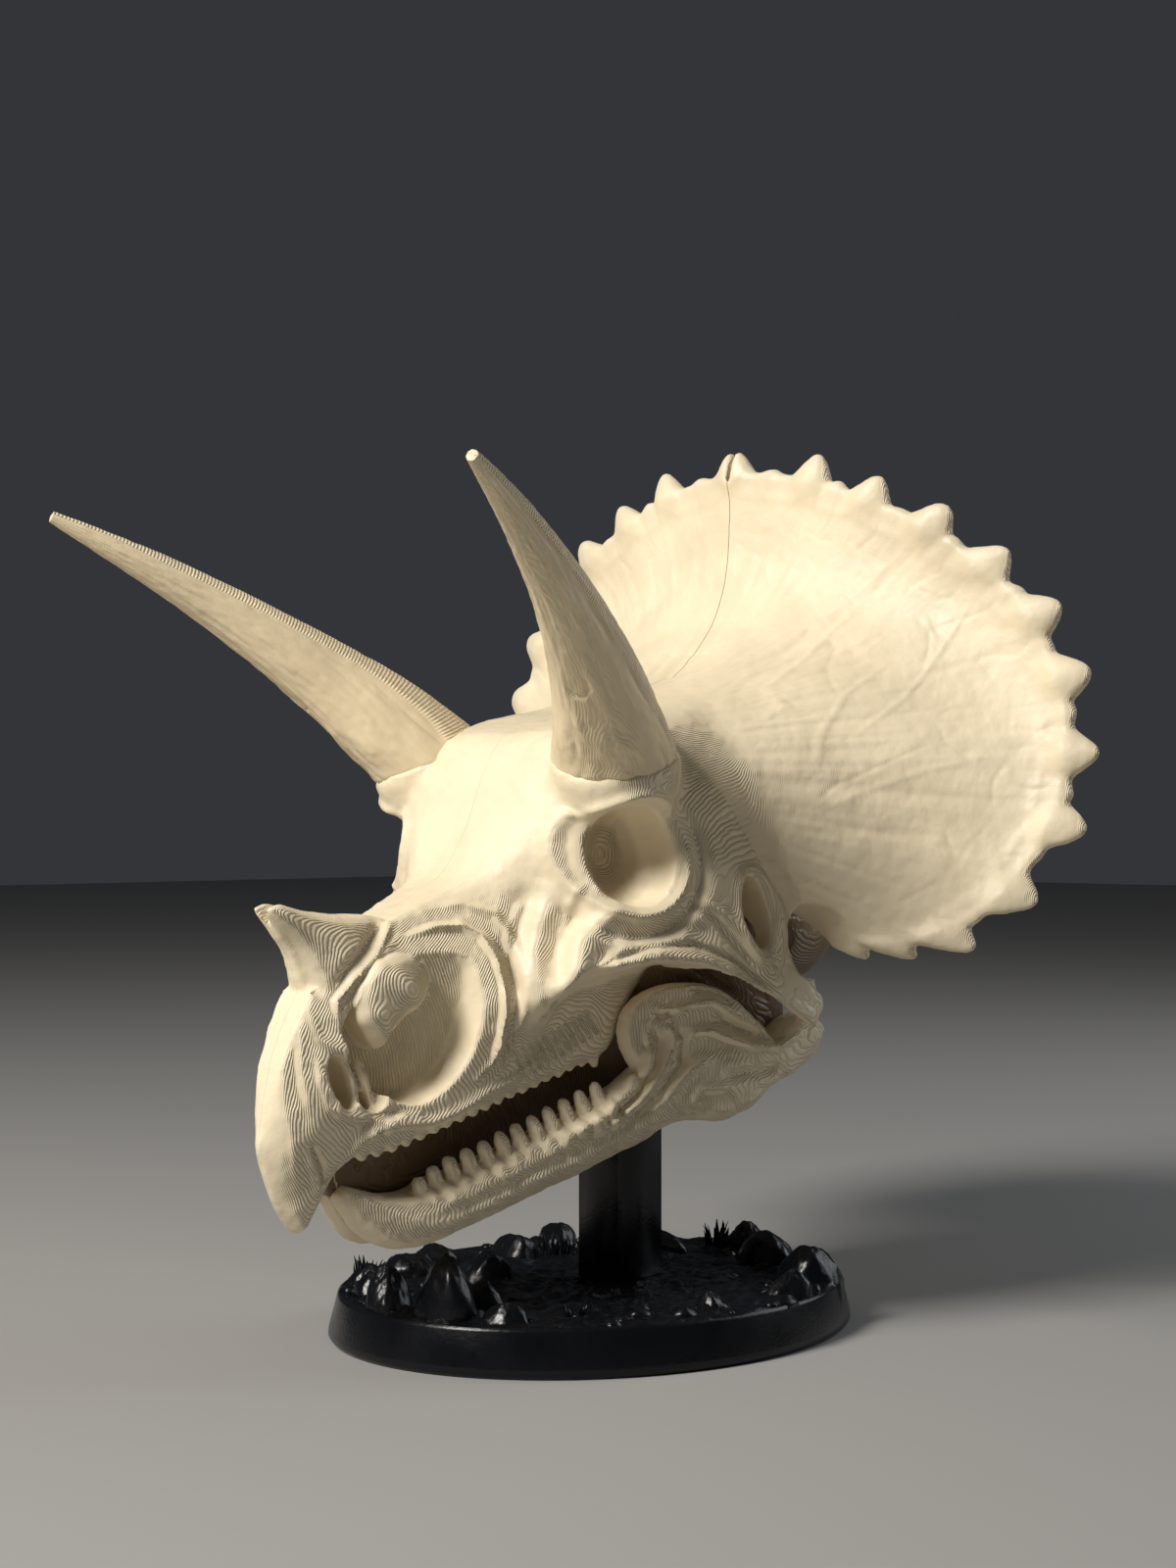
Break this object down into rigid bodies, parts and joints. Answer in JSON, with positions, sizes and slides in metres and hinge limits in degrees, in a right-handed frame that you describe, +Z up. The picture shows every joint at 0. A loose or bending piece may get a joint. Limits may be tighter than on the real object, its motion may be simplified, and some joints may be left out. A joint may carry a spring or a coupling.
{
  "type": "printed triceratops skull model on stand",
  "caption": "Desk-size printed horned dinosaur skull in glued halves, with brow horns, frill and open jaws, on a black rock stand.",
  "frame": {"origin": "centre of the stand base's flat underside", "axes": "+Z up, -Y the way the snout points, +X the skull's own left side; X = 0 is the plane where its halves are glued"},
  "size_m": [0.2446, 0.2117, 0.2606],
  "materials": {
    "bone_print": "matt cream print with fine layer lines",
    "horn_print": "matt cream print, layers across the horn",
    "black_print": "glossy black print"
  },
  "bodies": {
    "root": {"cranium_left": "bone_print", "cranium_right": "bone_print", "nose_horn_left": "bone_print", "nose_horn_right": "bone_print", "beak_left": "bone_print", "beak_right": "bone_print", "frill_left": "bone_print", "frill_right": "bone_print", "brow_horn_left": "horn_print", "brow_horn_right": "horn_print", "jaw_left": "bone_print", "jaw_right": "bone_print", "stand_base": "black_print", "stand_post": "black_print"}
  },
  "joints": []
}
